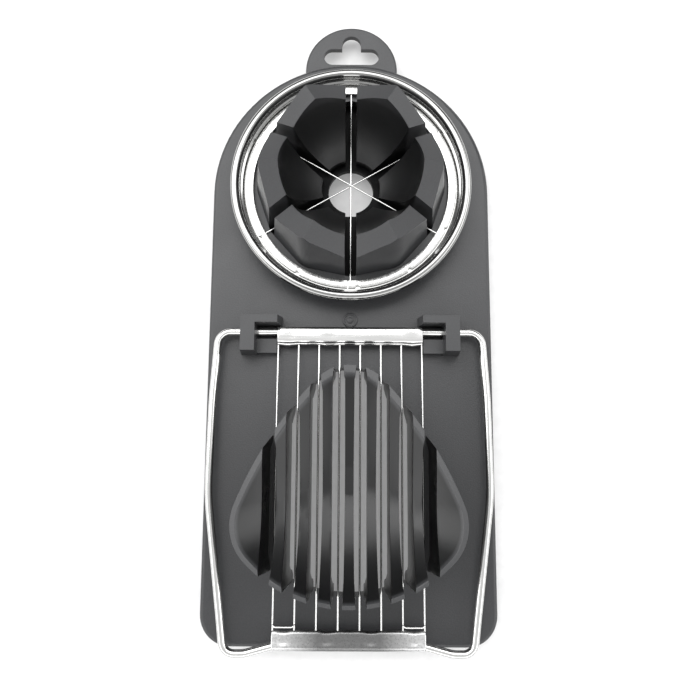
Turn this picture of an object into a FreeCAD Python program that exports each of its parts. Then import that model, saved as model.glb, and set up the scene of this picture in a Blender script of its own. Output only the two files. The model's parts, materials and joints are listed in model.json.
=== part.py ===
"""Two-way egg cutter: a slicer and a wedger on one hanging board, in millimetres.

+Z is up. The origin is on the table, under the middle of the whole object. The hanging
tab points to +Y and the lifting bar of the slicer frame lies at the -Y end.
"""
import FreeCAD, Part
import math
import os

os.makedirs("parts", exist_ok=True)
V = FreeCAD.Vector

# ---------------------------------------------------------------- driving dimensions
# board
BOARD_HALF_W = 45.0        # half width at the table, also the radius of the round end
BOARD_NEAR_Y = -99.05      # straight end under the lifting bar
BOARD_CORNER_R = 10.0
BOARD_TOP_Z = 7.0
BOARD_SKIN = 2.0           # moulded wall thickness
BOARD_ROOF_Z = BOARD_TOP_Z - BOARD_SKIN
WEB_T = 1.2                # stiffening webs under the roof
WEB_LOW_Z = 1.5            # they stay clear of the table
WEB_CROSS_Y = (-91.0, -14.0, 2.0)
WEB_RING_R = 33.0
BOSS_Y = -0.4              # small moulded boss between the two cutters
BOSS_R = 2.3
BOSS_H = 0.5
BOSS_GROOVE_R = 1.75
BOSS_CENTRE_R = 0.9
BOSS_GROOVE_FLOOR = 0.15   # what is left of the boss under its groove
SKIRT_DRAFT = 0.9          # how far the skirt leans in over its height
EDGE_ROUND = 1.3           # rounding along the top edge

# hanging tab with its Euro slot
TAB_R = 15.2
TAB_Y = 85.05
TAB_LOW_Z = 3.3
TAB_THICK = 2.0
TAB_EDGE_ROUND = 0.8
TAB_ROOT = 8.0             # how far the tab runs back towards the board
SLOT_Y = 89.6
SLOT_W = 18.3
SLOT_H = 5.6
LOBE_W = 6.3
LOBE_TOP_Y = 97.0

# slicer cup, an egg-shaped dish cut into ribs
NOSE_R = 12.7              # plan radii of the dish at mid height
NOSE_Y = -29.85
CORNER_R = 13.9
CORNER_X = 18.0
CORNER_Y = -60.25
NEAR_R = 39.0
SIDE_R = 105.0
DISH_MID_Z = 31.0          # height at which those radii hold
DISH_DRAFT = 0.08          # outward lean of the outer wall, mm per mm
RIM_FAR_Z = 26.2           # the rim is a plane that rises towards the lifting bar
RIM_NEAR_Z = 37.0
RIM_LAND = 1.5             # width of the flat rim
DISH_FLOOR_Z = 19.9
DISH_CENTRE_Y = -49.4
DISH_CURVE = 1.8           # the dish rises with this power of the way from centre to rim
FIN_BOTTOM_Z = 3.5
OPENING_INSET = 0.3        # opening in the board, inside the dish's outline
OPENING_HALF_W = 19.0      # the outermost slots stay closed by the board

# slicing wires
WIRE_COUNT = 8
WIRE_PITCH = 6.3
WIRE_R = 0.27
SLOT_FLOOR_W = 3.8         # width of a rib slot at the dish floor
SLOT_DRAFT = 0.03          # how much a slot narrows per mm of height
SLOT_MOUTH_W = 2.75        # width of a slot where it leaves through the rim

# slicer frame
HINGE_Y = -4.75
HINGE_Z = 10.5
ROD_R = 1.2
ROD_FIT = 0.06             # running clearance of the rod in its lugs
SHEET_WRAP_R = 1.65        # outside of the sheet that is folded round the rod
UPPER_LIP = (-7.95, 10.35)  # (y, z) of the hinge bar's folded edge
UPPER_LIP_R = 0.95
LOWER_LIP = (-93.3, 11.2)   # (y, z) of the lifting bar's folded edge
LOWER_LIP_R = 1.1
ROD_SEAM = 0.3             # half the gap between the rod's ends, hidden in the hinge bar
BAR_HALF_L = 22.3
BAR_LOW_Y = -96.65         # rod inside the lifting bar
WIRE_UPPER = (-8.6, 10.35)  # (y, z) where the wires leave the hinge bar
WIRE_LOWER = (-92.5, 11.3)  # (y, z) where they enter the lifting bar

# hinge lugs
LUG_TOP_Z = 16.5
LUG_INNER_X = 21.9
LUG_OUTER_X = 33.0
LUG_POST_X = 28.7          # inner face of the post that carries the rod
LUG_REAR_Y = -0.45
LUG_FRONT_Y = -11.25
LUG_ARM_Y = -2.7           # front face of the rear arm
LUG_FLARE = 0.8            # draft at the foot
SEAT_TOP_Z = 10.4
SEAT_REAR_Y = -6.9

# wedger cup
CUP_Y = 41.65
PETALS = 6
PETAL_HALF_ANGLE = 18.5    # each petal has two flats, this far either side of its middle
PETAL_BASE_A = 29.0        # apothem of the flats where they leave the board
PETAL_DRAFT = 0.13         # how much the flats lean in, mm per mm
PETAL_CROWN_Z = 36.0       # above every petal's ridge
RIDGE_R = 27.0             # outer end of the ridge along each petal's middle
RIDGE_Z = 31.8
RIDGE_RISE = 0.218         # rise of the ridge towards the middle of the cup, mm per mm
GABLE_FALL = 0.625         # fall of the two top faces from the ridge to the slots
EGG_R = 21.0               # hollow that holds the egg: half an ellipsoid, upright above it
EGG_Z = 32.0
EGG_DEPTH = 24.0
PETAL_SLOT_W = 3.5
PETAL_END_R = 9.2          # where the petals end, short of the centre hole
RIDGE_ROUND = 8.0          # rounding of the flats' meeting edge under each ridge
HUB_R = 7.2
HUB_NOTCH_W = 3.4
HUB_NOTCH_Y = 1.0
PETAL_WALL = 2.0

# wedging ring
SEAT_R = 35.0
SEAT_FOOT = 0.3            # draft of the collar at its foot
SEAT_Z = 11.4
SEAT_FIT = 0.05            # the collar runs this far into the petals' feet
RING_LIP_Z = 11.7
RING_LIP_T = 0.7
RING_WALL = ((33.8, 0.0), (34.35, 1.6), (34.95, 1.8), (35.7, 2.9), (35.7, 4.1),
             (34.9, 3.8), (34.45, 2.4), (33.85, 2.2), (33.4, 0.7))  # (r, z above the lip)
BAND_T = 0.65
BAND_IN_R = 30.6
BAND_OUT_R = 33.1
BAND_NOTCH_R = 0.75
BEAD_R = 1.4
BEAD_MID_R = 36.1
BEAD_Z = 15.4
CUT_WIRE_REACH = 32.3
CUT_ANGLES = (30, 90, 150)  # the wires lie over the petals' slots
CUT_WIRE_R = 0.21
CUT_WIRE_STEP = 0.44       # the three wires cross one above another
NOTCH_ANGLES = (32, 154, 212, -26, -56, -86, -120)


# ---------------------------------------------------------------- helpers
def save(shape, name):
    """Write one sub-part and report what it is."""
    shape = shape.removeSplitter()
    solids = shape.Solids
    if len(solids) == 1:
        shape = solids[0]
    shape.exportStep("parts/" + name + ".step")
    print(name, "solids", len(solids), "volume", round(shape.Volume, 2), "valid", shape.isValid())


def polar(centre, radius, angle):
    return (centre[0] + radius * math.cos(angle), centre[1] + radius * math.sin(angle))


def arc_chain(arcs, z):
    """Closed wire at height z through arcs given as (centre, radius, start, end) in radians."""
    edges = []
    for centre, radius, start, end in arcs:
        points = [polar(centre, radius, a) for a in (start, (start + end) / 2, end)]
        edges.append(Part.Arc(*[V(x, y, z) for x, y in points]).toShape())
    return Part.Wire(edges)


def polygon(points, z):
    vectors = [V(x, y, z) for x, y in points]
    return Part.makePolygon(vectors + vectors[:1])


def prism(wire, height):
    return Part.Face(wire).extrude(V(0, 0, height))


def box(x0, x1, y0, y1, z0, z1):
    return Part.makeBox(x1 - x0, y1 - y0, z1 - z0, V(x0, y0, z0))


def mirror_x(shape):
    return shape.mirror(V(0, 0, 0), V(1, 0, 0))


def turned(shape, degrees):
    """Copy of a shape turned about the wedger's upright axis."""
    copy = shape.copy()
    copy.rotate(V(0, CUP_Y, 0), V(0, 0, 1), degrees)
    return copy


# ---------------------------------------------------------------- board
def board_outline(inset, z):
    """Straight sides, one round end of radius BOARD_HALF_W and two small corners."""
    half = BOARD_HALF_W - inset
    near = BOARD_NEAR_Y + inset
    corner = BOARD_CORNER_R - inset
    left = (-half + corner, near + corner)
    right = (half - corner, near + corner)
    centre = (0.0, CUP_Y)

    def arc(mid, radius, start, end):
        points = [polar(mid, radius, math.radians(a)) for a in (start, (start + end) / 2, end)]
        return Part.Arc(*[V(x, y, z) for x, y in points]).toShape()

    def line(p, q):
        return Part.LineSegment(V(p[0], p[1], z), V(q[0], q[1], z)).toShape()

    return Part.Wire([
        arc(centre, half, 0, 180),
        line((-half, CUP_Y), (-half, near + corner)),
        arc(left, corner, 180, 270),
        line((-half + corner, near), (half - corner, near)),
        arc(right, corner, 270, 360),
        line((half, near + corner), (half, CUP_Y)),
    ])


def make_board_solid():
    """Outer form of the board: leaning skirt, flat top, rounded top edge."""
    body = Part.makeLoft([board_outline(0, 0), board_outline(SKIRT_DRAFT, BOARD_TOP_Z)], True, True)
    top_edges = [e for e in body.Edges if e.BoundBox.ZMin > BOARD_TOP_Z - 0.01]
    return body.makeFillet(EDGE_ROUND, top_edges)


def make_webs():
    """Two kinds of stiffening under the roof: cross webs, and a ring with spokes."""
    height = BOARD_ROOF_Z - WEB_LOW_Z
    webs = [box(-BOARD_HALF_W, BOARD_HALF_W, y - WEB_T / 2, y + WEB_T / 2,
                WEB_LOW_Z, BOARD_ROOF_Z) for y in WEB_CROSS_Y]
    low_centre = V(0, CUP_Y, WEB_LOW_Z)
    webs.append(Part.makeCylinder(WEB_RING_R, height, low_centre).cut(
        Part.makeCylinder(WEB_RING_R - WEB_T, height, low_centre)))
    spoke = box(HUB_R + BOARD_SKIN, BOARD_HALF_W, CUP_Y - WEB_T / 2, CUP_Y + WEB_T / 2,
                WEB_LOW_Z, BOARD_ROOF_Z)
    return webs + [turned(spoke, 90.0 + 360.0 / PETALS * i) for i in range(PETALS)]


def make_board(dish_openings, petal_hollows):
    """Hollow board with the curb round the dish opening, its webs and all its holes."""
    hollow = Part.makeLoft([board_outline(BOARD_SKIN, 0),
                            board_outline(BOARD_SKIN + SKIRT_DRAFT, BOARD_ROOF_Z)], True, True)
    board = make_board_solid().cut(hollow)
    overlap = 0.1
    inside = Part.makeLoft([board_outline(BOARD_SKIN - overlap, 0),
                            board_outline(BOARD_SKIN + SKIRT_DRAFT - overlap, BOARD_ROOF_Z)],
                           True, True)
    for web in make_webs():
        board = board.fuse(web.common(inside))
    board = board.fuse(fin_room(2 * BOARD_SKIN, 0, BOARD_ROOF_Z))

    centre_hole = Part.makeCylinder(HUB_R, 2 * BOARD_TOP_Z, V(0, CUP_Y, 0))
    notch = box(-HUB_NOTCH_W / 2, HUB_NOTCH_W / 2, CUP_Y - HUB_R - HUB_NOTCH_Y, CUP_Y,
                0, 2 * BOARD_TOP_Z)
    board = board.cut(dish_openings + [centre_hole, notch])
    return board.cut(petal_hollows)


def make_mark():
    """Small moulded boss between the two cutters, with a ring groove."""
    boss = Part.makeCylinder(BOSS_R, BOSS_H, V(0, BOSS_Y, BOARD_TOP_Z))
    floor = V(0, BOSS_Y, BOARD_TOP_Z + BOSS_GROOVE_FLOOR)
    groove = Part.makeCylinder(BOSS_GROOVE_R, BOSS_H, floor).cut(
        Part.makeCylinder(BOSS_CENTRE_R, BOSS_H, floor))
    return boss.cut(groove)


def make_tab():
    """Half-round tab that carries the board on a peg; the slot is a Euro hole."""
    low = TAB_LOW_Z
    high = TAB_LOW_Z + TAB_THICK
    disc = Part.makeCylinder(TAB_R, TAB_THICK, V(0, TAB_Y, low))
    root = box(-TAB_R, TAB_R, TAB_Y - TAB_ROOT, TAB_Y, low, high)
    tab = disc.fuse(root).removeSplitter()
    rim = [e for e in tab.Edges if e.BoundBox.ZMin > high - 0.01 and e.BoundBox.YMax > TAB_Y + 1]
    tab = tab.makeFillet(TAB_EDGE_ROUND, rim)
    end_r = SLOT_H / 2
    reach = SLOT_W / 2 - end_r
    bar = box(-reach, reach, SLOT_Y - end_r, SLOT_Y + end_r, low, high)
    ends = [Part.makeCylinder(end_r, TAB_THICK, V(side * reach, SLOT_Y, low)) for side in (-1, 1)]
    lobe_r = LOBE_W / 2
    lobe = Part.makeCylinder(lobe_r, TAB_THICK, V(0, LOBE_TOP_Y - lobe_r, low))
    neck = box(-lobe_r, lobe_r, SLOT_Y, LOBE_TOP_Y - lobe_r, low, high)
    tab = tab.cut([bar, lobe, neck] + ends)
    return tab.cut(make_board_solid())


# ---------------------------------------------------------------- slicer cup
def egg_arcs(offset):
    """The dish's plan outline, offset outwards: nose, long side, corner and near end."""
    near_y = CORNER_Y + math.sqrt((NEAR_R - CORNER_R) ** 2 - CORNER_X ** 2)
    # the long side's centre lies SIDE_R - NOSE_R from the nose and SIDE_R - CORNER_R
    # from the corner, on the far side of the middle line
    gap_x = CORNER_X
    gap_y = CORNER_Y - NOSE_Y
    gap = math.hypot(gap_x, gap_y)
    to_nose = SIDE_R - NOSE_R
    to_corner = SIDE_R - CORNER_R
    along = (to_nose ** 2 - to_corner ** 2 + gap ** 2) / (2 * gap)
    aside = math.sqrt(to_nose ** 2 - along ** 2)
    side = (along * gap_x / gap + aside * gap_y / gap,
            NOSE_Y + along * gap_y / gap - aside * gap_x / gap)
    nose_turn = math.atan2(NOSE_Y - side[1], -side[0])
    corner_turn = math.atan2(CORNER_Y - side[1], CORNER_X - side[0])
    near_turn = math.atan2(CORNER_Y - near_y, CORNER_X)
    pi = math.pi
    left = (-side[0], side[1])
    return [
        ((0, NOSE_Y), NOSE_R + offset, nose_turn, pi - nose_turn),
        (left, SIDE_R + offset, pi - nose_turn, pi - corner_turn),
        ((-CORNER_X, CORNER_Y), CORNER_R + offset, pi - corner_turn, pi - near_turn),
        ((0, near_y), NEAR_R + offset, -pi - near_turn, near_turn),
        ((CORNER_X, CORNER_Y), CORNER_R + offset, near_turn, corner_turn),
        (side, SIDE_R + offset, corner_turn, nose_turn),
    ]


def egg_outline(offset, z):
    return arc_chain(egg_arcs(offset), z)


def rim_slope():
    far_tip = NOSE_Y + NOSE_R
    near_tip = CORNER_Y + math.sqrt((NEAR_R - CORNER_R) ** 2 - CORNER_X ** 2) - NEAR_R
    slope = (RIM_NEAR_Z - RIM_FAR_Z) / (near_tip - far_tip)
    return slope, RIM_FAR_Z - slope * far_tip


def make_dish_hollow():
    """Smooth dish: the rim's inner outline shrinks towards the floor in steps."""
    slope, rise = rim_slope()
    wires = []
    for scale in (0.12, 0.32, 0.52, 0.70, 0.86, 1.0, 1.1):
        share = scale ** DISH_CURVE
        matrix = FreeCAD.Matrix()
        matrix.A11 = scale
        matrix.A22 = scale
        matrix.A24 = DISH_CENTRE_Y * (1 - scale)
        # every section lies in its own plane, from level at the floor to the rim's slope
        matrix.A32 = share * slope * scale
        matrix.A33 = 1.0
        matrix.A34 = DISH_FLOOR_Z + share * (rise + slope * DISH_CENTRE_Y * (1 - scale)
                                             - DISH_FLOOR_Z)
        wires.append(egg_outline(-RIM_LAND, 0).transformGeometry(matrix))
    return Part.makeLoft(wires, True, False)


def fin_room(grow, low, high):
    """Space under the dish that the ribs reach down into, between two heights."""
    outline = prism(egg_outline(grow - OPENING_INSET, low), high - low)
    half = OPENING_HALF_W + grow
    return outline.common(box(-half, half, BOARD_NEAR_Y, 0, low, high))


def make_dish_block():
    """Everything inside the dish's outer wall and under the rim plane, before hollowing."""
    high = RIM_NEAR_Z + 5
    foot = egg_outline((DISH_MID_Z - BOARD_TOP_Z) * DISH_DRAFT, BOARD_TOP_Z)
    crown = egg_outline((DISH_MID_Z - high) * DISH_DRAFT, high)
    wall = Part.makeLoft([foot, crown], True, True)
    root = fin_room(0, FIN_BOTTOM_Z, BOARD_TOP_Z)
    slope, rise = rim_slope()
    y0, y1 = 2 * BOARD_NEAR_Y, 0.0
    top = 2 * high
    side = [(y0, rise + slope * y0), (y1, rise + slope * y1), (y1, top), (y0, top)]
    points = [V(-BOARD_HALF_W, y, z) for y, z in side]
    above = Part.Face(Part.makePolygon(points + points[:1])).extrude(V(2 * BOARD_HALF_W, 0, 0))
    return wall.fuse(root).cut(above)


def wire_x(index):
    return (index - (WIRE_COUNT - 1) / 2.0) * WIRE_PITCH


def make_slot(x, low, high):
    """Slot that a wire drops into; it narrows upwards, and towards the rim at both ends."""
    column = Part.LineSegment(V(x, BOARD_NEAR_Y, 0), V(x, 0, 0)).toShape()
    chord = column.common(Part.Face(egg_outline(0, 0))).BoundBox
    taper = 2 * RIM_LAND

    def plan(z):
        half = (SLOT_FLOOR_W - SLOT_DRAFT * (z - DISH_FLOOR_Z)) / 2
        mouth = SLOT_MOUTH_W / 2
        right = [(x + mouth, BOARD_NEAR_Y), (x + mouth, chord.YMin),
                 (x + half, chord.YMin + taper), (x + half, chord.YMax - taper),
                 (x + mouth, chord.YMax), (x + mouth, 0)]
        left = [(2 * x - px, py) for px, py in reversed(right)]
        return polygon(right + left, z)

    return Part.makeLoft([plan(low), plan(high)], True, True)


def make_board_slots():
    """Where the slots cut through the board, out to the foot of the dish's wall."""
    foot = egg_outline((DISH_MID_Z - BOARD_TOP_Z) * DISH_DRAFT, 0)
    foot_room = prism(foot, 2 * BOARD_TOP_Z)
    open_wires = range(1, WIRE_COUNT - 1)
    return [make_slot(wire_x(i), 0, 2 * BOARD_TOP_Z).common(foot_room) for i in open_wires]


def make_ribs():
    """Seven ribs between the wires and one cheek on each side."""
    dish = make_dish_block().cut(make_dish_hollow())
    dish = dish.cut([make_slot(wire_x(i), 0, 2 * RIM_NEAR_Z) for i in range(WIRE_COUNT)])
    pieces = sorted(dish.Solids, key=lambda s: s.CenterOfMass.x)
    names = ["slicer_cheek_left"]
    names += ["slicer_rib_%d" % (i + 1) for i in range(WIRE_COUNT - 1)]
    names += ["slicer_cheek_right"]
    assert len(pieces) == len(names), len(pieces)
    return dict(zip(names, pieces))


# ---------------------------------------------------------------- slicer frame
def rounded_path(points, radii):
    """Wire through the points, with a tangent arc of the given radius at each inner one."""
    edges = []
    start = V(*points[0])
    for i in range(1, len(points) - 1):
        corner = V(*points[i])
        before = (V(*points[i - 1]) - corner).normalize()
        after = (V(*points[i + 1]) - corner).normalize()
        inner = before.getAngle(after)
        reach = radii[i - 1] / math.tan(inner / 2)
        enter = corner + before * reach
        leave = corner + after * reach
        middle = (before + after).normalize()
        nearest = corner + middle * (radii[i - 1] / math.sin(inner / 2) - radii[i - 1])
        edges.append(Part.LineSegment(start, enter).toShape())
        edges.append(Part.Arc(enter, nearest, leave).toShape())
        start = leave
    edges.append(Part.LineSegment(start, V(*points[-1])).toShape())
    return Part.Wire(edges)


def make_rod():
    """One bent rod: hinge ends, two arms that bow out past the dish, and the lifting end."""
    plan = [(ROD_SEAM, HINGE_Y), (40.35, HINGE_Y), (41.6, -25.0), (42.0, -54.0),
            (36.3, -99.05), (30.3, -99.05), (21.2, BAR_LOW_Y), (0.0, BAR_LOW_Y)]
    radii = (4.2, 150.0, 70.0, 3.6, 8.0, 8.0)
    path = rounded_path([(x, y, HINGE_Z) for x, y in plan], radii)
    circle = Part.makeCircle(ROD_R, V(ROD_SEAM, HINGE_Y, HINGE_Z), V(1, 0, 0))
    half = path.makePipeShell([Part.Wire(circle)], True, False)
    return half.fuse(mirror_x(half))


def two_circle_bar(big, big_r, small, small_r):
    """Bar along X whose section is the hull of two circles in the YZ plane."""
    dy, dz = small[0] - big[0], small[1] - big[1]
    gap = math.hypot(dy, dz)
    heading = math.atan2(dz, dy)
    lean = math.acos((big_r - small_r) / gap)

    def at(centre, radius, angle):
        return V(-BAR_HALF_L, centre[0] + radius * math.cos(angle),
                 centre[1] + radius * math.sin(angle))

    up, down = heading + lean, heading - lean
    edges = [
        Part.LineSegment(at(big, big_r, up), at(small, small_r, up)).toShape(),
        Part.Arc(at(small, small_r, up), at(small, small_r, heading),
                 at(small, small_r, down)).toShape(),
        Part.LineSegment(at(small, small_r, down), at(big, big_r, down)).toShape(),
        Part.Arc(at(big, big_r, down), at(big, big_r, heading + math.pi),
                 at(big, big_r, up)).toShape(),
    ]
    return Part.Face(Part.Wire(edges)).extrude(V(2 * BAR_HALF_L, 0, 0))


def make_slicer_wire(index):
    start = V(wire_x(index), *WIRE_UPPER)
    end = V(wire_x(index), *WIRE_LOWER)
    return Part.makeCylinder(WIRE_R, (end - start).Length, start, end - start)


def make_bars(wires, rod):
    """The two folded sheets that hold the wires, one round each cross run of the rod."""
    upper = two_circle_bar((HINGE_Y, HINGE_Z), SHEET_WRAP_R, UPPER_LIP, UPPER_LIP_R)
    lower = two_circle_bar((BAR_LOW_Y, HINGE_Z), SHEET_WRAP_R, LOWER_LIP, LOWER_LIP_R)
    return upper.cut([rod] + wires), lower.cut([rod] + wires)


# ---------------------------------------------------------------- hinge lugs
def make_lug():
    """L-shaped lug on the +X side: a post that carries the rod, a rear arm and a seat."""
    def plan(flare, z):
        return polygon([
            (LUG_INNER_X - flare, LUG_REAR_Y + flare),
            (LUG_OUTER_X + flare, LUG_REAR_Y + flare),
            (LUG_OUTER_X + flare, LUG_FRONT_Y - flare / 3),
            (LUG_POST_X, LUG_FRONT_Y - flare / 3),
            (LUG_POST_X, LUG_ARM_Y),
            (LUG_INNER_X - flare, LUG_ARM_Y),
        ], z)

    lug = Part.makeLoft([plan(LUG_FLARE, BOARD_TOP_Z), plan(0, LUG_TOP_Z)], True, True)
    seat = box(LUG_INNER_X + 0.6, LUG_POST_X, LUG_FRONT_Y, SEAT_REAR_Y, BOARD_TOP_Z, SEAT_TOP_Z)
    hole = Part.makeCylinder(ROD_R + ROD_FIT, 20, V(LUG_POST_X - 5, HINGE_Y, HINGE_Z), V(1, 0, 0))
    return lug.fuse(seat).cut(hole)


# ---------------------------------------------------------------- wedger cup
def petal_outline(apothem, z):
    """Twelve flats: a ridge at each petal's middle and a shallow corner at each slot."""
    half = math.radians(PETAL_HALF_ANGLE)
    step = math.pi / PETALS
    points = []
    for i in range(2 * PETALS):
        radius = apothem / math.cos(half if i % 2 == 0 else step - half)
        points.append(polar((0, CUP_Y), radius, i * step))
    return polygon(points, z)


def above_gables(lower):
    """Everything over the two sloping top faces of every petal, moved down by lower."""
    wide = 2 * SEAT_R
    high = 4 * PETAL_CROWN_Z
    faces = []
    for side in (1, -1):
        # the top face at the middle of the cup and outside it, at the ridge and beside it
        corners = []
        for r, y in ((0, 0), (wide, 0), (wide, side * wide), (0, side * wide)):
            z = RIDGE_Z - lower - RIDGE_RISE * (r - RIDGE_R) - GABLE_FALL * abs(y)
            corners.append(V(r, CUP_Y + y, z))
        column = Part.Face(Part.makePolygon(corners + corners[:1])).extrude(V(0, 0, high))
        # only the sector between this petal's middle and the next slot
        half = math.pi / PETALS
        sector = prism(polygon([(0, CUP_Y), (wide, CUP_Y),
                                polar((0, CUP_Y), wide / math.cos(half), side * half)], 0), high)
        faces.append(column.common(sector))
    return [turned(f, 360.0 / PETALS * i) for i in range(PETALS) for f in faces]


def is_under_ridge(edge):
    """True for an upright edge of the block that lies on a petal's middle line."""
    middle = edge.BoundBox.Center
    turn = math.degrees(math.atan2(middle.y - CUP_Y, middle.x)) % (360.0 / PETALS)
    return min(turn, 360.0 / PETALS - turn) < 1.0


def make_petal_block(shrink):
    """Outer form of all six petals, moved inwards by shrink for the hollow under them."""
    crown_a = PETAL_BASE_A - PETAL_DRAFT * (PETAL_CROWN_Z - BOARD_TOP_Z)
    block = Part.makeLoft([petal_outline(PETAL_BASE_A - shrink, BOARD_TOP_Z),
                           petal_outline(crown_a - shrink, PETAL_CROWN_Z)], True, True)
    under_ridge = [e for e in block.Edges if e.BoundBox.ZLength > 1 and is_under_ridge(e)]
    block = block.makeFillet(RIDGE_ROUND, under_ridge)
    steepness = math.sqrt(1 + RIDGE_RISE ** 2 + GABLE_FALL ** 2)
    return block.cut(above_gables(shrink * steepness))


def egg_room(grow):
    """The egg's room: half an ellipsoid below, a plain cylinder above it."""
    radius = EGG_R + grow
    low = EGG_Z - EGG_DEPTH - grow
    top = 2 * PETAL_CROWN_Z
    ellipse = Part.Ellipse(V(0, CUP_Y, low), V(radius, CUP_Y, EGG_Z), V(0, CUP_Y, EGG_Z))
    edges = [ellipse.toShape(0, math.pi / 2)]
    corners = [V(0, CUP_Y, low), V(0, CUP_Y, top), V(radius, CUP_Y, top), V(radius, CUP_Y, EGG_Z)]
    edges += [Part.LineSegment(p, q).toShape() for p, q in zip(corners, corners[1:])]
    face = Part.Face(Part.Wire(Part.__sortEdges__(edges)))
    return face.revolve(V(0, CUP_Y, 0), V(0, 0, 1), 360)


def make_slot_walls(width):
    """Three upright walls across the cup, one for each pair of slots."""
    wall = box(-SEAT_R, SEAT_R, CUP_Y - width / 2, CUP_Y + width / 2, 0, 2 * PETAL_CROWN_Z)
    return [turned(wall, angle) for angle in CUT_ANGLES]


def make_petals():
    """The petals and the hollows that the moulding has under them, the +X petal first."""
    high = 2 * PETAL_CROWN_Z
    step = math.pi / PETALS
    centre = (0, CUP_Y)
    # the petal next to the +X one, between its two slots
    sector = prism(polygon([centre, polar(centre, 2 * SEAT_R, step),
                            polar(centre, 2 * SEAT_R, 3 * step)], 0), high)
    hub = Part.makeCylinder(PETAL_END_R, high, V(0, CUP_Y, 0))
    petal = make_petal_block(0).common(sector)
    petal = petal.cut([egg_room(0), hub] + make_slot_walls(PETAL_SLOT_W))

    thick_hub = Part.makeCylinder(PETAL_END_R + PETAL_WALL, high, V(0, CUP_Y, 0))
    slot_walls = make_slot_walls(PETAL_SLOT_W + 2 * PETAL_WALL)
    under = make_petal_block(PETAL_WALL)
    under = under.fuse(prism(petal_outline(PETAL_BASE_A - PETAL_WALL, 0), BOARD_TOP_Z))
    hollow = under.common(sector).cut([egg_room(PETAL_WALL), thick_hub] + slot_walls)

    petal = petal.cut(hollow)
    turns = [360.0 / PETALS * (i - 1) for i in range(PETALS)]
    return [turned(petal, t) for t in turns], [turned(hollow, t) for t in turns]


def make_ring_seat():
    """Low collar round the petals' feet; the ring comes to rest on it."""
    height = SEAT_Z - BOARD_TOP_Z
    disc = Part.makeCone(SEAT_R + SEAT_FOOT, SEAT_R, height, V(0, CUP_Y, BOARD_TOP_Z))
    return disc.cut(make_petal_block(-SEAT_FIT))


# ---------------------------------------------------------------- wedging ring
def revolve_profile(points):
    vectors = [V(r, CUP_Y, z) for r, z in points]
    face = Part.Face(Part.makePolygon(vectors + vectors[:1]))
    return face.revolve(V(0, CUP_Y, 0), V(0, 0, 1), 360)


def make_ring_shell():
    """Pressed ring: flat lip below, stepped wall, and a rolled bead round the top."""
    inner_r = BAND_IN_R + 0.3
    profile = [(inner_r, RING_LIP_Z)]
    profile += [(r, RING_LIP_Z + up) for r, up in RING_WALL]
    profile.append((inner_r, RING_LIP_Z + RING_LIP_T))
    bead = Part.makeTorus(BEAD_MID_R, BEAD_R, V(0, CUP_Y, BEAD_Z), V(0, 0, 1))
    return revolve_profile(profile).fuse(bead)


def make_ring_band():
    """Flat band that clamps the wires on the lip; its outer edge has small notches."""
    low = RING_LIP_Z + RING_LIP_T
    band = Part.makeCylinder(BAND_OUT_R, BAND_T, V(0, CUP_Y, low)).cut(
        Part.makeCylinder(BAND_IN_R, BAND_T, V(0, CUP_Y, low)))
    notch = Part.makeCylinder(BAND_NOTCH_R, BAND_T, V(BAND_OUT_R, CUP_Y, low))
    return band.cut([turned(notch, angle) for angle in NOTCH_ANGLES])


def make_cut_wires():
    """Three straight wires across the ring, one above another where they cross."""
    middle_z = RING_LIP_Z + RING_LIP_T
    wires = []
    for level, angle in zip((-1, 0, 1), CUT_ANGLES):
        start = V(-CUT_WIRE_REACH, CUP_Y, middle_z + level * CUT_WIRE_STEP)
        wire = Part.makeCylinder(CUT_WIRE_R, 2 * CUT_WIRE_REACH, start, V(1, 0, 0))
        wires.append(turned(wire, angle))
    return wires


# ---------------------------------------------------------------- assembly
def main():
    petals, hollows = make_petals()
    openings = [fin_room(0, 0, 2 * BOARD_TOP_Z)] + make_board_slots()
    save(make_board(openings, hollows), "base_board")
    save(make_mark(), "moulded_boss")
    save(make_tab(), "hanging_tab")

    lug = make_lug()
    save(lug, "hinge_lug_right")
    save(mirror_x(lug), "hinge_lug_left")

    for name, rib in make_ribs().items():
        save(rib, name)

    for i, petal in enumerate(petals):
        save(petal, "wedger_petal_%d" % (i + 1))
    save(make_ring_seat(), "ring_seat")

    rod = make_rod()
    wires = [make_slicer_wire(i) for i in range(WIRE_COUNT)]
    upper, lower = make_bars(wires, rod)
    save(rod, "frame_rod")
    save(upper, "hinge_bar")
    save(lower, "lifting_bar")
    for i, wire in enumerate(wires):
        save(wire, "slicer_wire_%d" % (i + 1))

    cut_wires = make_cut_wires()
    save(make_ring_shell().cut(cut_wires), "ring_shell")
    save(make_ring_band().cut(cut_wires), "ring_band")
    for i, wire in enumerate(cut_wires):
        save(wire, "wedger_wire_%d" % (i + 1))


main()
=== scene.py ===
"""Looks of the two-way egg cutter: materials, bevelled plastic, folded sheet, wire and light.

The frame is the CAD model's, in metres. Outlines of the added pieces are written in
millimetres, where the CAD model has the nodes that they belong to.
"""

import json
import math

import bmesh
import bpy
from mathutils import Matrix, Vector


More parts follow.
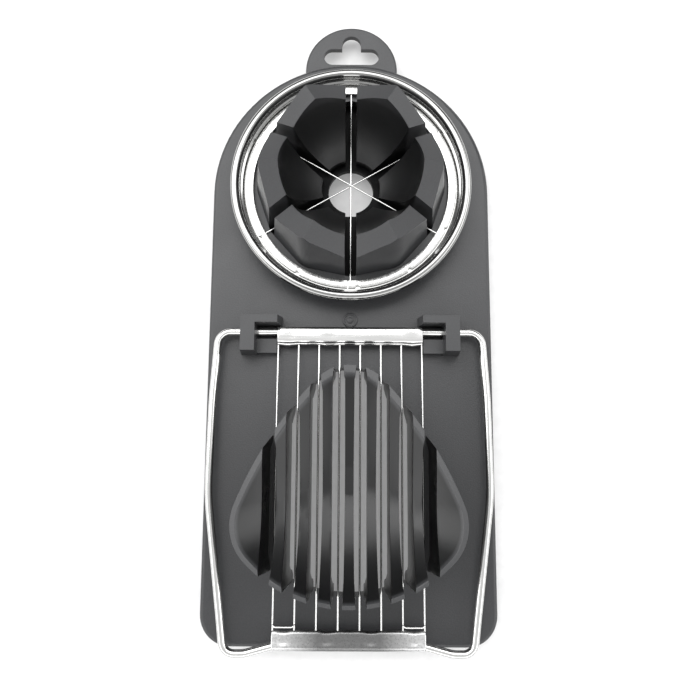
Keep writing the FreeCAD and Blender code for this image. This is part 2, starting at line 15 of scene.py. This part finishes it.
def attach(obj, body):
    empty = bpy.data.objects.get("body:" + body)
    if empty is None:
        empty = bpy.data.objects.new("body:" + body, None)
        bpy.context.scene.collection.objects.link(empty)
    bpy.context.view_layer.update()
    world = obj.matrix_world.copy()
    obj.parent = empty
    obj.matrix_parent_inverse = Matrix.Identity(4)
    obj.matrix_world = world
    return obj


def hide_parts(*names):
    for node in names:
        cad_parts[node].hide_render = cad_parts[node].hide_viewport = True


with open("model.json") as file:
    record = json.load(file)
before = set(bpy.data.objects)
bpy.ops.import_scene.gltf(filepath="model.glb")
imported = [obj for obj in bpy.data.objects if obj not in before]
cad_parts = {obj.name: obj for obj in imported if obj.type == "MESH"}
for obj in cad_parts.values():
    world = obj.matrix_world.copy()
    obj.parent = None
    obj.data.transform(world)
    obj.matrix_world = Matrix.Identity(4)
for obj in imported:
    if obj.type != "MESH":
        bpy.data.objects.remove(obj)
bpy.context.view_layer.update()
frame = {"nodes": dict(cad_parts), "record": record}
nodes = frame["nodes"]
MM = 0.001

# plan and heights of the CAD model, in millimetres
WIRE_PITCH = 6.3
BAR_HALF_L = 22.3
HINGE_Y = -4.75
ROD_Z = 10.5
RING_Y = 41.65
RING_LIP_Z = 11.7
LIP_THICKNESS = 0.7
BOSS_Y = -0.4


# ---------------------------------------------------------------- node helpers
def new_material(name):
    """An empty material with a Principled shader, and what is needed to build on it."""
    material = bpy.data.materials.new(name)
    material.use_nodes = True
    tree = material.node_tree
    shader = tree.nodes["Principled BSDF"]
    place = tree.nodes.new("ShaderNodeTexCoord").outputs["Object"]
    return material, tree, shader, place


def noise(tree, place, scale, detail=2.0, roughness=0.5, stretch=None):
    """Noise in object space; scale is in cells per metre."""
    if stretch:
        mapping = tree.nodes.new("ShaderNodeMapping")
        mapping.inputs["Scale"].default_value = stretch
        tree.links.new(place, mapping.inputs["Vector"])
        place = mapping.outputs["Vector"]
    texture = tree.nodes.new("ShaderNodeTexNoise")
    texture.inputs["Scale"].default_value = scale
    texture.inputs["Detail"].default_value = detail
    texture.inputs["Roughness"].default_value = roughness
    tree.links.new(place, texture.inputs["Vector"])
    return texture.outputs["Fac"]


def spread(tree, value, low, high, start=0.3, end=0.7):
    """Maps a value between start and end to low and high."""
    ramp = tree.nodes.new("ShaderNodeMapRange")
    ramp.inputs["From Min"].default_value = start
    ramp.inputs["From Max"].default_value = end
    ramp.inputs["To Min"].default_value = low
    ramp.inputs["To Max"].default_value = high
    tree.links.new(value, ramp.inputs["Value"])
    return ramp.outputs["Result"]


def two_tone(tree, value, dark, light):
    """Colour that runs from dark to light over the middle of the value's range."""
    ramp = tree.nodes.new("ShaderNodeValToRGB")
    ramp.color_ramp.elements[0].position = 0.35
    ramp.color_ramp.elements[0].color = (*dark, 1)
    ramp.color_ramp.elements[1].position = 0.65
    ramp.color_ramp.elements[1].color = (*light, 1)
    tree.links.new(value, ramp.inputs["Fac"])
    return ramp.outputs["Color"]


def bump(tree, height, distance, before=None):
    """Normal tilted by a height in metres, on top of an earlier bump if there is one."""
    node = tree.nodes.new("ShaderNodeBump")
    node.inputs["Distance"].default_value = distance
    node.inputs["Strength"].default_value = 1.0
    tree.links.new(height, node.inputs["Height"])
    if before:
        tree.links.new(before, node.inputs["Normal"])
    return node.outputs["Normal"]


# ---------------------------------------------------------------- materials
FLOW_CELLS = 60.0
DENT_CELLS = 160.0
TONE_SPREAD = 0.12


def plastic(name, colour, roughness, grain, grain_depth, wave_depth):
    """Moulded plastic: a fine grain, faint flow waves, and a little unevenness of tone."""
    material, tree, shader, place = new_material(name)
    flow = noise(tree, place, FLOW_CELLS, 3.0)
    fine = noise(tree, place, grain, 3.0, 0.6)
    light = [c * (1 + TONE_SPREAD) for c in colour]
    dark = [c * (1 - TONE_SPREAD) for c in colour]
    tree.links.new(two_tone(tree, fine, dark, light), shader.inputs["Base Color"])
    tree.links.new(spread(tree, flow, roughness - 0.04, roughness + 0.05),
                   shader.inputs["Roughness"])
    waves = bump(tree, flow, wave_depth)
    tree.links.new(bump(tree, fine, grain_depth, waves), shader.inputs["Normal"])
    shader.inputs["IOR"].default_value = 1.5
    return material


def steel(name, colour, roughness, brush=None, brush_depth=0.0, dent_depth=0.0, scale=900.0):
    """Stainless steel with faint dents, and streaks drawn out along one way if brush says so."""
    material, tree, shader, place = new_material(name)
    streak = noise(tree, place, scale, 4.0, 0.6, brush)
    dents = noise(tree, place, DENT_CELLS, 2.0)
    light = [min(1.0, c * 1.04) for c in colour]
    dark = [c * 0.93 for c in colour]
    tree.links.new(two_tone(tree, streak, dark, light), shader.inputs["Base Color"])
    tree.links.new(spread(tree, streak, roughness * 0.75, roughness * 1.35),
                   shader.inputs["Roughness"])
    dented = bump(tree, dents, dent_depth)
    tree.links.new(bump(tree, streak, brush_depth, dented), shader.inputs["Normal"])
    shader.inputs["Metallic"].default_value = 1.0
    return material


ALONG_X = (0.06, 1.0, 1.0)
ALONG_Y = (1.0, 0.06, 1.0)

CUP_CENTRE = (0.0, RING_Y * MM, 0.0)
COLLAR_R = 30.0
EGG_R = 21.0
RIM_SLOPE = 0.1672
RIM_FOOT_Z = 22.85
# near-black painted shade for the hollows, slot floors and dish that lie in shade; the roughness
# is not changed
PAINTED_SHADE_BLACK = (0.0030, 0.0031, 0.0034, 1)
BAR_PAINTED_SHADE = (0.21, 0.21, 0.21, 1)
# painted shade on the bar: a grey middle stands in for the dark overhead mirrored in its flat
# top
BAR_SHADE_HALF_L = 9.0
PLAIN_STEEL_FROM = 21.0


def vector_value(tree, operation, place, other):
    """One number out of the place and a fixed vector."""
    node = tree.nodes.new("ShaderNodeVectorMath")
    node.operation = operation
    node.inputs[1].default_value = other
    tree.links.new(place, node.inputs[0])
    return node.outputs["Value"]


def flat_distance(tree, place, centre):
    """Distance from an upright axis through the centre."""
    flat = tree.nodes.new("ShaderNodeVectorMath")
    flat.operation = "MULTIPLY"
    flat.inputs[1].default_value = (1.0, 1.0, 0.0)
    tree.links.new(place, flat.inputs[0])
    return vector_value(tree, "DISTANCE", flat.outputs["Vector"], centre)


def over_colour(material, amount, other):
    """Where the amount is 0 the other colour takes the place of the base colour."""
    tree = material.node_tree
    shader = tree.nodes["Principled BSDF"]
    own = shader.inputs["Base Color"].links[0].from_socket
    mix = tree.nodes.new("ShaderNodeMix")
    mix.data_type = "RGBA"
    colours = [socket for socket in mix.inputs if socket.type == "RGBA"]
    colours[0].default_value = other
    tree.links.new(amount, mix.inputs[0])
    tree.links.new(own, colours[1])
    result = [socket for socket in mix.outputs if socket.type == "RGBA"][0]
    tree.links.new(result, shader.inputs["Base Color"])


def place_of(material):
    return material.node_tree.nodes["Texture Coordinate"].outputs["Object"]


def board_plastic():
    """The board's grained plastic; inside the wedger's collar painted shade makes it near-black
    and takes most of its shine away.
    """
    material = plastic("board_plastic", (0.034, 0.0347, 0.0367), 0.36, 2300.0, 5.5e-5, 4e-5)
    tree = material.node_tree
    reach = flat_distance(tree, place_of(material), CUP_CENTRE)
    outside = spread(tree, reach, 0.0, 1.0, (COLLAR_R - 0.5) * MM, (COLLAR_R + 0.5) * MM)
    # painted shade: inside the collar the colour turns near-black
    over_colour(material, outside, PAINTED_SHADE_BLACK)
    shader = tree.nodes["Principled BSDF"]
    # inside the collar the shine is turned down too, which keeps the painted shade dark
    tree.links.new(spread(tree, outside, 0.06, 0.5, 0.0, 1.0),
                   shader.inputs["Specular IOR Level"])
    return material


def petal_plastic():
    """Grained outside and on top; painted shade turns the hollow that holds the egg near-black.
    """
    material = plastic("petal_plastic", (0.030, 0.0306, 0.0325), 0.38, 2600.0, 1.2e-5, 3e-5)
    tree = material.node_tree
    reach = flat_distance(tree, place_of(material), CUP_CENTRE)
    outside = spread(tree, reach, 0.0, 1.0, (EGG_R - 0.3) * MM, (EGG_R + 0.2) * MM)
    # painted shade: inside the hollow the colour turns near-black
    over_colour(material, outside, PAINTED_SHADE_BLACK)
    return material


def dish_plastic():
    """Grained on the flat rim; painted shade turns the dish and the spaces between the ribs
    near-black.
    """
    material = plastic("dish_plastic", (0.032, 0.0326, 0.0346), 0.31, 2400.0, 6e-6, 3e-5)
    tree = material.node_tree
    # the rim is a plane that falls towards the hinge: z + slope * y is the same all over it
    height = vector_value(tree, "DOT_PRODUCT", place_of(material), (0.0, RIM_SLOPE, 1.0))
    on_rim = spread(tree, height, 0.0, 1.0, (RIM_FOOT_Z - 0.25) * MM, (RIM_FOOT_Z + 0.25) * MM)
    # painted shade: below the rim the colour turns near-black
    over_colour(material, on_rim, PAINTED_SHADE_BLACK)
    return material


def bar_steel():
    """Rough sheet with painted shade: dark grey in the middle, standing in for the dark overhead
    mirrored there, and plain steel towards both ends of the bar.
    """
    material = steel("bar_steel", (0.72, 0.72, 0.72), 0.30, None, 3.6e-5, 8e-5, 1500.0)
    tree = material.node_tree
    split = tree.nodes.new("ShaderNodeSeparateXYZ")
    tree.links.new(place_of(material), split.inputs["Vector"])
    aside = tree.nodes.new("ShaderNodeMath")
    aside.operation = "ABSOLUTE"
    tree.links.new(split.outputs["X"], aside.inputs[0])
    # painted shade: grey in the middle of the bar, fading to plain steel towards both ends
    near_end = spread(tree, aside.outputs["Value"], 0.0, 1.0, BAR_SHADE_HALF_L * MM, PLAIN_STEEL_FROM * MM)
    over_colour(material, near_end, BAR_PAINTED_SHADE)
    return material


MATERIALS = {
    "board_plastic": board_plastic(),
    "lug_plastic": plastic("lug_plastic", (0.034, 0.0347, 0.0366), 0.38, 2600.0, 1.2e-5, 3e-5),
    "dish_plastic": dish_plastic(),
    "petal_plastic": petal_plastic(),
    "rod_steel": steel("rod_steel", (0.74, 0.74, 0.73), 0.14, ALONG_Y, 2e-6, 2e-5),
    "sheet_steel": steel("sheet_steel", (0.96, 0.96, 0.95), 0.14, ALONG_X, 2e-6, 6e-5),
    "bar_steel": bar_steel(),
    "wire_steel": steel("wire_steel", (0.86, 0.86, 0.85), 0.22, ALONG_Y, 1e-6, 1e-6),
    "ring_steel": steel("ring_steel", (0.36, 0.36, 0.355), 0.11, None, 3e-7, 8e-6),
    "band_steel": steel("band_steel", (0.78, 0.78, 0.77), 0.24, None, 1e-6, 1e-5),
}


def node_slots():
    return {entry["node"]: entry["material_slot"] for entry in frame["record"]["subparts"]}


def dress_nodes():
    """Every CAD node takes the material of its slot."""
    for node, slot in node_slots().items():
        mesh = nodes[node].data
        mesh.materials.clear()
        mesh.materials.append(MATERIALS[slot])


def body_of(node):
    for body, members in frame["record"]["behaviour"]["bodies"].items():
        if node in members:
            return body


def finer(name, mesh, node, instead=True):
    """A mesh with a CAD node's material and body that takes the node's place or adds to it."""
    mesh.materials.clear()
    slot = node_slots()[node]
    mesh.materials.append(MATERIALS[slot])
    piece = bpy.data.objects.new(name, mesh)
    bpy.context.scene.collection.objects.link(piece)
    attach(piece, body_of(node))
    if instead:
        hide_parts(node)


# ---------------------------------------------------------------- moulded plastic
FLAT_ANGLE = math.radians(0.4)
BEVEL_ANGLE = math.radians(32)
CREASE_ANGLE = math.radians(38)
BEVEL_SEGMENTS = 3


def rounded_copy(node, width):
    """The node's mesh with its sharp edges rounded, as a moulding has them."""
    source = nodes[node]
    shell = bmesh.new()
    shell.from_mesh(source.data)
    shell.transform(source.matrix_world)
    bmesh.ops.remove_doubles(shell, verts=shell.verts, dist=0.004 * MM)
    bmesh.ops.dissolve_limit(shell, angle_limit=FLAT_ANGLE, verts=shell.verts,
                             edges=shell.edges, use_dissolve_boundaries=False)
    sharp = [e for e in shell.edges if e.is_manifold and e.calc_face_angle(0.0) > BEVEL_ANGLE]
    bmesh.ops.bevel(shell, geom=sharp, offset=width, offset_type="OFFSET",
                    segments=BEVEL_SEGMENTS, profile=0.5, affect="EDGES", clamp_overlap=True,
                    harden_normals=False)
    for face in shell.faces:
        face.smooth = True
    mesh = bpy.data.meshes.new(node + "_fine")
    shell.to_mesh(mesh)
    shell.free()
    mesh.set_sharp_from_angle(angle=CREASE_ANGLE)

    # the finished normals follow the large faces and not the narrow rounds between them
    draft = bpy.data.objects.new("draft", mesh)
    bpy.context.scene.collection.objects.link(draft)
    weigh = draft.modifiers.new("weigh", "WEIGHTED_NORMAL")
    weigh.keep_sharp = True
    graph = bpy.context.evaluated_depsgraph_get()
    weighted = bpy.data.meshes.new_from_object(draft.evaluated_get(graph))
    bpy.data.objects.remove(draft)
    finer(node + "_fine", weighted, node)


# ---------------------------------------------------------------- steel
FOLD_ANGLE = math.radians(50)


def skin(name, rings, closed):
    """Mesh through rings of points in millimetres; every ring has the same number of points."""
    count = len(rings[0])
    points = [p for ring in rings for p in ring]
    faces = []
    last = len(rings) if closed else len(rings) - 1
    for i in range(last):
        here = i * count
        there = (i + 1) % len(rings) * count
        for j in range(count):
            k = (j + 1) % count
            faces.append((here + j, here + k, there + k, there + j))
    if not closed:
        faces.append(tuple(reversed(range(count))))
        faces.append(tuple(range(len(points) - count, len(points))))
    mesh = bpy.data.meshes.new(name)
    mesh.from_pydata([[c * MM for c in p] for p in points], [], faces)
    shell = bmesh.new()
    shell.from_mesh(mesh)
    bmesh.ops.recalc_face_normals(shell, faces=shell.faces)
    for face in shell.faces:
        face.smooth = len(face.verts) == 4
    shell.to_mesh(mesh)
    shell.free()
    mesh.set_sharp_from_angle(angle=FOLD_ANGLE)
    return mesh


def arc_points(centre, radius, start, end, steps):
    """Points of an arc in the plane of y and z, between two angles in degrees."""
    turns = [math.radians(start + (end - start) * i / steps) for i in range(steps + 1)]
    return [(centre[0] + radius * math.cos(t), centre[1] + radius * math.sin(t)) for t in turns]


def span_wave(x, low_spans):
    """1 in the middle of the named spans between wires, 0 in the others."""
    span = (x + 4 * WIRE_PITCH) / WIRE_PITCH - 0.5
    index = math.floor(span)
    return math.sin(math.pi * (span - index)) ** 2 if index in low_spans else 0.0


WRAP_R = 1.65
LIP_DIP = 0.3
BAR_STATIONS = 240
END_INSET = 0.12


def folded_bar(node, wrap, shoulder, lip, low_spans):
    """Sheet folded round the rod: the lip's edge lies lower between some of the wires."""
    rings = []
    for i in range(BAR_STATIONS + 1):
        x = -BAR_HALF_L + 2 * BAR_HALF_L * i / BAR_STATIONS
        dip = LIP_DIP * span_wave(x, low_spans)
        loop = list(wrap)
        loop += [(y - 0.3 * dip, z - 0.4 * dip) for y, z in shoulder]
        loop += [(y - dip, z - 0.5 * dip) for y, z in lip]
        inset = END_INSET if i in (0, BAR_STATIONS) else 0.0
        middle_y = sum(p[0] for p in loop) / len(loop)
        middle_z = sum(p[1] for p in loop) / len(loop)
        rings.append([(x, y + (middle_y - y) * inset, z + (middle_z - z) * inset)
                      for y, z in loop])
    finer(node + "_fine", skin(node + "_fine", rings, False), node)


def make_hinge_bar():
    wrap = arc_points((HINGE_Y, ROD_Z), WRAP_R, -95, 92, 22)
    shoulder = [(-5.9, 12.13), (-6.9, 12.09), (-7.6, 11.98), (-8.05, 11.72), (-8.3, 11.3)]
    lip = arc_points((-8.05, 10.42), 0.82, 60, 262, 12)
    folded_bar("hinge_bar", wrap, shoulder, lip, (0, 2, 6))


def make_lifting_bar():
    wrap = arc_points((-96.65, ROD_Z), WRAP_R, 84, 275, 22)
    lip = arc_points((-93.25, 11.2), 0.98, -98, 82, 12)
    lip += [(-93.9, 12.12), (-94.7, 12.02), (-95.6, 12.06)]
    folded_bar("lifting_bar", wrap, [], lip, (0, 2, 4, 6))


def tube(name, path, radius, node, sides=12):
    """Round wire along a path, added beside the node and riding with its body."""
    points = [Vector(p) for p in path]
    rings = []
    up = Vector((0, 0, 1))
    for i, point in enumerate(points):
        ahead = points[min(i + 1, len(points) - 1)]
        behind = points[max(i - 1, 0)]
        along = (ahead - behind).normalized()
        side = along.cross(up).normalized()
        over = side.cross(along)
        rings.append([tuple(point + radius * (math.cos(t) * side + math.sin(t) * over))
                      for t in (2 * math.pi * j / sides for j in range(sides))])
    finer(name, skin(name, rings, False), node, instead=False)


LOOP_WIRE_R = 0.24
LOOP_BEND_R = 1.0
LOOP_FLATNESS = 0.8
LOOP_RISE = 0.55
LOOP_Y = -90.6
LOOP_Z = 11.35
LOOP_RUN = 0.4
LOOP_STEPS = 8


def loop_bend(x, inward):
    """Quarter of a turn from the run at x towards its neighbour, rising as it bends."""
    bend = []
    for i in range(LOOP_STEPS + 1):
        turn = math.pi / 2 * i / LOOP_STEPS
        bend.append((x + inward * LOOP_BEND_R * (1 - math.cos(turn)),
                     LOOP_Y - LOOP_FLATNESS * LOOP_BEND_R * math.sin(turn),
                     LOOP_Z + LOOP_RISE * math.sin(turn)))
    return bend


def make_wire_loops():
    """The laced wire turns back just inside the lifting bar, at both of the bar's ends."""
    for number, side in ((1, -1), (2, 1)):
        outer_x = side * 3.5 * WIRE_PITCH
        inner_x = side * 2.5 * WIRE_PITCH
        path = [(outer_x, LOOP_Y + LOOP_RUN, LOOP_Z)]
        path += loop_bend(outer_x, -side)
        path += reversed(loop_bend(inner_x, side))
        path.append((inner_x, LOOP_Y + LOOP_RUN, LOOP_Z))
        tube("wire_loop_%d" % number, path, LOOP_WIRE_R, "slicer_wire_1")


BAND_INNER_R = 30.6
BAND_OUTER_R = 33.1
BAND_THICKNESS = 0.65
BAND_ROUND = 0.16
BAND_STEPS = 900
BAND_SEAM = 268.6
SEAM_HALF_W = 0.35
BAND_NOTCHES = (32, 154, 212, 334, 304, 274, 240)
NOTCH_HALF_W = 1.3
NOTCH_DEPTH = 0.7


def band_edge(angle):
    """Outer radius of the clamp band: full but for a small round notch at some angles."""
    edge = BAND_OUTER_R
    for notch in BAND_NOTCHES:
        off = abs((angle - notch + 180) % 360 - 180) / NOTCH_HALF_W
        if off < 1.0:
            edge -= NOTCH_DEPTH * math.sqrt(1.0 - off ** 2)
    return edge


def make_band():
    """Clamp band with rounded edges, small notches round its outside and one open seam."""
    low = RING_LIP_Z + LIP_THICKNESS
    high = low + BAND_THICKNESS
    soft = BAND_ROUND
    inner = BAND_INNER_R
    rings = []
    for i in range(BAND_STEPS + 1):
        angle = BAND_SEAM + SEAM_HALF_W + (360 - 2 * SEAM_HALF_W) * i / BAND_STEPS
        outer = band_edge(angle)
        section = [(inner, low), (inner, high - soft), (inner + 0.05, high - 0.05),
                   (inner + soft, high), (outer - soft, high), (outer - 0.05, high - 0.05),
                   (outer, high - soft), (outer, low)]
        turn = math.radians(angle)
        rings.append([(r * math.cos(turn), RING_Y + r * math.sin(turn), z) for r, z in section])
    finer("ring_band_fine", skin("ring_band_fine", rings, False), "ring_band")


def make_boss():
    """The small boss with a softly rounded rim, a ring groove and a domed centre."""
    top = 7.5
    section = [(2.3, 7.0), (2.3, 7.35), (2.15, top), (1.95, top), (1.75, 7.4), (1.68, 7.05),
               (1.0, 7.05), (0.92, 7.4), (0.75, 7.46), (0.4, top), (0.02, top), (0.02, 7.0)]
    steps = 72
    rings = []
    for i in range(steps):
        turn = 2 * math.pi * i / steps
        rings.append([(r * math.cos(turn), BOSS_Y + r * math.sin(turn), z) for r, z in section])
    finer("moulded_boss_fine", skin("moulded_boss_fine", rings, True), "moulded_boss")


dress_nodes()
RIBS = ["slicer_rib_%d" % (i + 1) for i in range(7)]
CHEEKS = ["slicer_cheek_left", "slicer_cheek_right"]
PETALS = ["wedger_petal_%d" % (i + 1) for i in range(6)]
LUGS_AND_TAB = ["hinge_lug_left", "hinge_lug_right", "hanging_tab"]
for cad_node in RIBS + CHEEKS:
    rounded_copy(cad_node, 0.28 * MM)
for cad_node in PETALS:
    rounded_copy(cad_node, 0.30 * MM)
for cad_node in LUGS_AND_TAB:
    rounded_copy(cad_node, 0.22 * MM)
make_hinge_bar()
make_lifting_bar()
make_wire_loops()
make_band()
make_boss()


# ---------------------------------------------------------------- stage, camera, light
def make_floor():
    mesh = bpy.data.meshes.new("floor")
    half = 1.5
    mesh.from_pydata([(-half, -half, 0), (half, -half, 0), (half, half, 0), (-half, half, 0)],
                     [], [(0, 1, 2, 3)])
    floor = bpy.data.objects.new("floor", mesh)
    bpy.context.scene.collection.objects.link(floor)
    material, tree, shader, place = new_material("pale_floor")
    speckle = noise(tree, place, 300.0, 2.0)
    tree.links.new(two_tone(tree, speckle, (0.60, 0.60, 0.60), (0.64, 0.64, 0.64)),
                   shader.inputs["Base Color"])
    shader.inputs["Roughness"].default_value = 0.8
    shader.inputs["Specular IOR Level"].default_value = 0.1
    shader.inputs["Emission Color"].default_value = (1.0, 1.0, 1.0, 1)
    shader.inputs["Emission Strength"].default_value = 0.22
    mesh.materials.append(material)


def aim(obj, target, up_turn=0.0):
    """Points an object's -Z at the target, with its +Y up the picture."""
    direction = (Vector(target) - obj.location).normalized()
    turn = direction.to_track_quat("-Z", "Y").to_matrix()
    obj.rotation_euler = (turn @ Matrix.Rotation(up_turn, 3, "Z")).to_euler()


def make_camera():
    """Close above the object, leaning a little from the lifting bar's side."""
    data = bpy.data.cameras.new("camera")
    data.sensor_width = 36.0
    data.lens = 36.2
    data.clip_start = 0.01
    camera = bpy.data.objects.new("camera", data)
    bpy.context.scene.collection.objects.link(camera)
    camera.location = (0.0, -41.5 * MM, 224.3 * MM)
    aim(camera, (0.0, -8.75 * MM, 0.0), math.radians(0.3))
    bpy.context.scene.camera = camera


def softbox(name, place, target, width, height, power):
    data = bpy.data.lights.new(name, "AREA")
    data.shape = "RECTANGLE"
    data.size = width
    data.size_y = height
    data.energy = power
    light = bpy.data.objects.new(name, data)
    bpy.context.scene.collection.objects.link(light)
    light.location = place
    aim(light, target)


def make_sky(strength, near_share):
    """White studio walls: dark low down and behind the hanging tab, dimmer behind the camera."""
    world = bpy.data.worlds.new("studio")
    world.use_nodes = True
    tree = world.node_tree
    background = tree.nodes["Background"]
    place = tree.nodes.new("ShaderNodeTexCoord").outputs["Generated"]
    split = tree.nodes.new("ShaderNodeSeparateXYZ")
    tree.links.new(place, split.inputs["Vector"])
    ramp = tree.nodes.new("ShaderNodeValToRGB")
    stops = ((0.0, 0.02), (0.20, 0.05), (0.34, 1.0), (0.56, 1.0), (0.76, 0.36), (1.0, 0.25))
    elements = ramp.color_ramp.elements
    while len(elements) < len(stops):
        elements.new(0.5)
    for element, (position, level) in zip(elements, stops):
        element.position = position
        element.color = (level, level, level, 1)
    tree.links.new(split.outputs["Z"], ramp.inputs["Fac"])
    tree.links.new(ramp.outputs["Color"], background.inputs["Color"])
    near = spread(tree, split.outputs["Y"], strength * near_share, strength, -0.5, 0.15)
    # the far wall, behind the hanging tab, is dark
    far = spread(tree, split.outputs["Y"], 1.0, 0.04, 0.40, 0.70)
    both = tree.nodes.new("ShaderNodeMath")
    both.operation = "MULTIPLY"
    tree.links.new(near, both.inputs[0])
    tree.links.new(far, both.inputs[1])
    tree.links.new(both.outputs["Value"], background.inputs["Strength"])
    bpy.context.scene.world = world


def make_light():
    make_sky(3.3, 0.75)
    centre = (0.0, 0.0, 0.01)
    softbox("far_box", (-0.14, 0.42, 0.78), centre, 1.2, 0.7, 7.5)
    bpy.context.scene.view_settings.view_transform = "Standard"


make_floor()
make_camera()
make_light()
